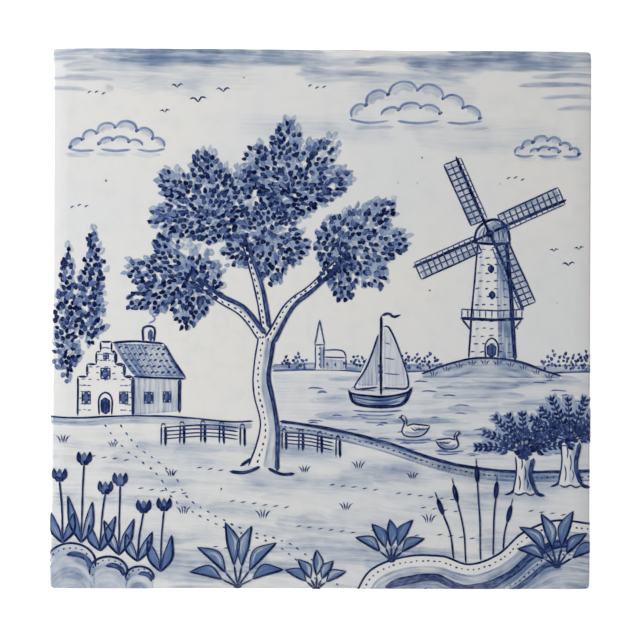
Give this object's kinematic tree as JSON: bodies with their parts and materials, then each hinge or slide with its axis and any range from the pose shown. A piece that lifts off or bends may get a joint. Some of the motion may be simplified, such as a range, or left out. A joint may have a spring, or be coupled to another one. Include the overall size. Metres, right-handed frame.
{
  "type": "delft tile",
  "caption": "Square tin-glazed earthenware wall tile with a cushioned glazed face, a blue painted landscape, drafted sides and a keyed back.",
  "frame": {"origin": "middle of the plane that the tile's back rests on", "axes": "+Z out of the glazed face, +Y towards the top of the painted picture, +X to the picture's right"},
  "size_m": [0.13, 0.13, 0.008],
  "materials": {
    "tin_glaze": "glossy off-white tin glaze over the face and sides, bare cream biscuit on the back",
    "cobalt_blue": "cobalt blue painting fired in the glaze, from pale wash to near black line"
  },
  "bodies": {
    "root": {"tile": "tin_glaze"}
  },
  "joints": []
}
